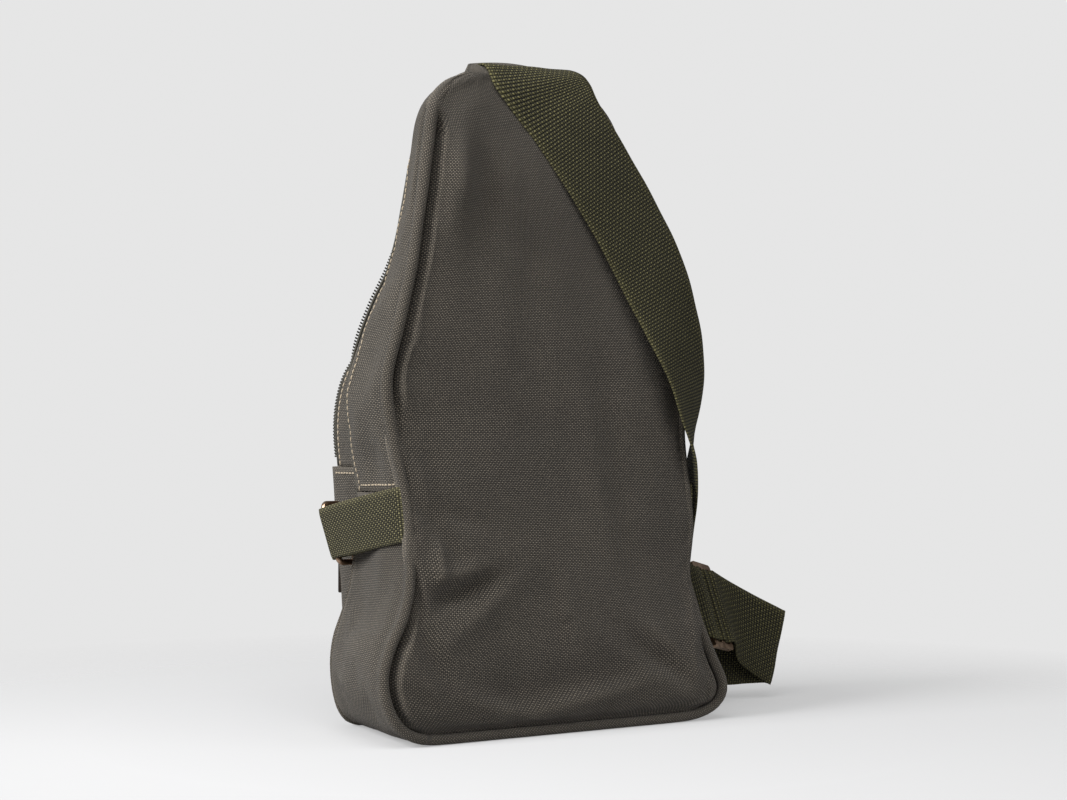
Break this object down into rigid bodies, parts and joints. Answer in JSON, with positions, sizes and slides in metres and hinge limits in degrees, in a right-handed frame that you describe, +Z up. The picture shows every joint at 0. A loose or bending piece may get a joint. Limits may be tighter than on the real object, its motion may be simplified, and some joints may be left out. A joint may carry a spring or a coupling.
{
  "type": "sling backpack",
  "caption": "Teardrop canvas sling backpack standing on its base, with a zipped front pocket, one shoulder strap with slider and hook, and a ring on a webbing tab at each side.",
  "frame": {"origin": "middle of the flat base", "axes": "+Z up, the pockets face -Y, the back panel faces +Y, the strap comes down on the -X side"},
  "size_m": [0.3315, 0.1242, 0.3837],
  "materials": {
    "canvas": "matt woven canvas",
    "webbing": "coarse woven cotton webbing",
    "zip_tape": "matt woven tape",
    "zip_coil": "semi-matt moulded coil",
    "brass": "aged, slightly worn",
    "dark_metal": "dark, satin"
  },
  "bodies": {
    "bag": {"back_panel": "canvas", "back_piping": "canvas", "gusset_upper": "canvas", "gusset_base": "canvas", "front_panel": "canvas", "pocket_top_band": "canvas", "pocket_side_left": "canvas", "pocket_side_right": "canvas", "pocket_face_lower": "canvas", "pocket_face_upper": "canvas", "shoulder_strap": "webbing", "tab_left": "webbing", "tab_right": "webbing", "main_zip_tape": "zip_tape", "pocket_zip_tape": "zip_tape", "face_zip_tape": "zip_tape", "main_zip_coil": "zip_coil", "pocket_zip_coil": "zip_coil", "face_zip_coil": "zip_coil", "strap_slider": "brass", "strap_hook": "brass", "ring_left": "brass", "ring_right": "brass", "main_zip_slider": "dark_metal", "pocket_zip_slider": "dark_metal", "face_zip_slider": "dark_metal"},
    "main_pull": {"main_zip_pull": "dark_metal"},
    "pocket_pull": {"pocket_zip_pull": "dark_metal"},
    "face_pull": {"face_zip_pull": "dark_metal"}
  },
  "joints": [
    {"name": "main_pull_hinge", "type": "hinge", "parent": "bag", "child": "main_pull", "pos_m": [-0.06647, -0.02029, 0.297], "axis": [-0.9323, 0.2871, 0.2199], "range_deg": [0, 165]},
    {"name": "pocket_pull_hinge", "type": "hinge", "parent": "bag", "child": "pocket_pull", "pos_m": [-0.08885, -0.06645, 0.17121], "axis": [-0.6, 0.8, -0.0043], "range_deg": [0, 165]},
    {"name": "face_pull_hinge", "type": "hinge", "parent": "bag", "child": "face_pull", "pos_m": [0.07655, -0.07141, 0.10486], "axis": [-0.9978, -0.0657, 0], "range_deg": [0, 150]}
  ]
}
